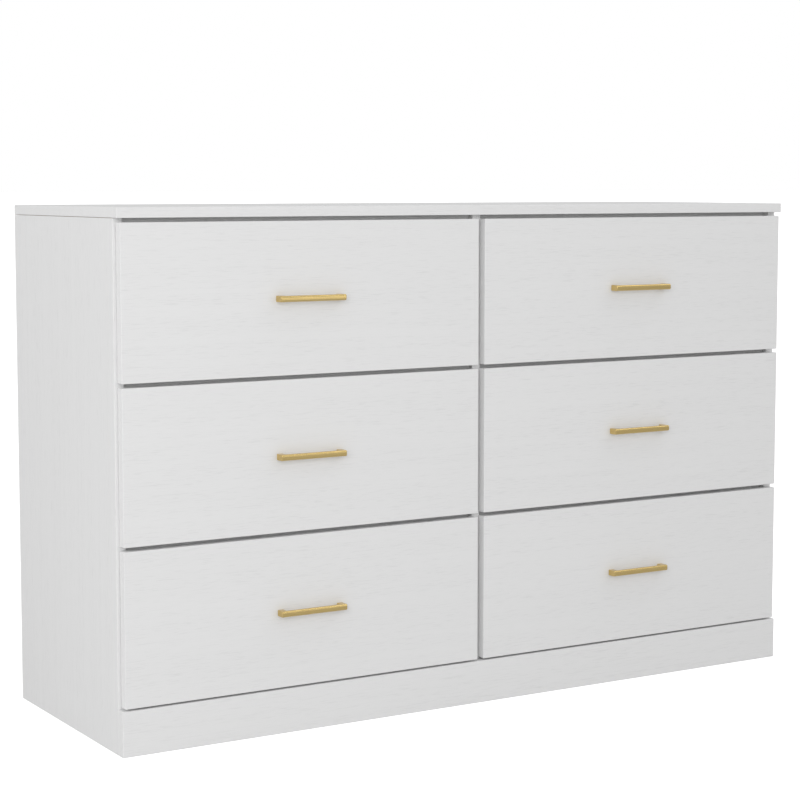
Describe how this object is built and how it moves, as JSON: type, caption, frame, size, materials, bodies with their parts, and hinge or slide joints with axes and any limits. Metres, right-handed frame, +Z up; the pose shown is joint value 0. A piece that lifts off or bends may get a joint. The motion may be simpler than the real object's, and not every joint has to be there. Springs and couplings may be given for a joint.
{
  "type": "dresser with drawers",
  "caption": "Low, wide white wood-grain dresser on a plinth, with two columns of slide-out drawers on metal runners, overlay fronts and gold bar handles.",
  "frame": {"origin": "on the floor, in the middle of the footprint that the carcass and the handles cover together", "axes": "+X to the right seen from the front, +Y to the back, +Z up; the drawers open along -Y"},
  "size_m": [1.2, 0.411, 0.7725],
  "materials": {
    "wood_grain_melamine": "white melamine foil with a fine embossed wood grain, satin",
    "drawer_board": "plain white melamine, satin",
    "drawer_sheet": "thin hardboard, white lacquered inside the drawer and raw underneath",
    "hardboard": "raw brown hardboard outside, white lacquered inside",
    "gold_plate": "brushed gold plating, satin",
    "white_powder_coated_steel": "white powder coat on rolled sheet steel"
  },
  "bodies": {
    "carcass": {"top_panel": "wood_grain_melamine", "side_panel_left": "wood_grain_melamine", "side_panel_right": "wood_grain_melamine", "centre_divider": "wood_grain_melamine", "bottom_panel": "wood_grain_melamine", "crossbar_lower": "wood_grain_melamine", "crossbar_upper": "wood_grain_melamine", "crossbar_top": "wood_grain_melamine", "plinth_front": "wood_grain_melamine", "plinth_rear": "wood_grain_melamine", "back_panel_left": "hardboard", "back_panel_right": "hardboard", "runner_bottom_left_left": "white_powder_coated_steel", "runner_bottom_left_right": "white_powder_coated_steel", "runner_bottom_right_left": "white_powder_coated_steel", "runner_bottom_right_right": "white_powder_coated_steel", "runner_middle_left_left": "white_powder_coated_steel", "runner_middle_left_right": "white_powder_coated_steel", "runner_middle_right_left": "white_powder_coated_steel", "runner_middle_right_right": "white_powder_coated_steel", "runner_top_left_left": "white_powder_coated_steel", "runner_top_left_right": "white_powder_coated_steel", "runner_top_right_left": "white_powder_coated_steel", "runner_top_right_right": "white_powder_coated_steel"},
    "drawer_bottom_left": {"drawer_bottom_left_front": "wood_grain_melamine", "drawer_bottom_left_side_left": "drawer_board", "drawer_bottom_left_side_right": "drawer_board", "drawer_bottom_left_back": "drawer_board", "drawer_bottom_left_bottom": "drawer_sheet", "drawer_bottom_left_handle": "gold_plate"},
    "drawer_bottom_right": {"drawer_bottom_right_front": "wood_grain_melamine", "drawer_bottom_right_side_left": "drawer_board", "drawer_bottom_right_side_right": "drawer_board", "drawer_bottom_right_back": "drawer_board", "drawer_bottom_right_bottom": "drawer_sheet", "drawer_bottom_right_handle": "gold_plate"},
    "drawer_middle_left": {"drawer_middle_left_front": "wood_grain_melamine", "drawer_middle_left_side_left": "drawer_board", "drawer_middle_left_side_right": "drawer_board", "drawer_middle_left_back": "drawer_board", "drawer_middle_left_bottom": "drawer_sheet", "drawer_middle_left_handle": "gold_plate"},
    "drawer_middle_right": {"drawer_middle_right_front": "wood_grain_melamine", "drawer_middle_right_side_left": "drawer_board", "drawer_middle_right_side_right": "drawer_board", "drawer_middle_right_back": "drawer_board", "drawer_middle_right_bottom": "drawer_sheet", "drawer_middle_right_handle": "gold_plate"},
    "drawer_top_left": {"drawer_top_left_front": "wood_grain_melamine", "drawer_top_left_side_left": "drawer_board", "drawer_top_left_side_right": "drawer_board", "drawer_top_left_back": "drawer_board", "drawer_top_left_bottom": "drawer_sheet", "drawer_top_left_handle": "gold_plate"},
    "drawer_top_right": {"drawer_top_right_front": "wood_grain_melamine", "drawer_top_right_side_left": "drawer_board", "drawer_top_right_side_right": "drawer_board", "drawer_top_right_back": "drawer_board", "drawer_top_right_bottom": "drawer_sheet", "drawer_top_right_handle": "gold_plate"}
  },
  "joints": [
    {"name": "drawer_bottom_left_slide", "type": "slide", "parent": "carcass", "child": "drawer_bottom_left", "axis": [0, -1, 0], "range_m": [0, 0.26]},
    {"name": "drawer_bottom_right_slide", "type": "slide", "parent": "carcass", "child": "drawer_bottom_right", "axis": [0, -1, 0], "range_m": [0, 0.26]},
    {"name": "drawer_middle_left_slide", "type": "slide", "parent": "carcass", "child": "drawer_middle_left", "axis": [0, -1, 0], "range_m": [0, 0.26]},
    {"name": "drawer_middle_right_slide", "type": "slide", "parent": "carcass", "child": "drawer_middle_right", "axis": [0, -1, 0], "range_m": [0, 0.26]},
    {"name": "drawer_top_left_slide", "type": "slide", "parent": "carcass", "child": "drawer_top_left", "axis": [0, -1, 0], "range_m": [0, 0.26]},
    {"name": "drawer_top_right_slide", "type": "slide", "parent": "carcass", "child": "drawer_top_right", "axis": [0, -1, 0], "range_m": [0, 0.26]}
  ]
}
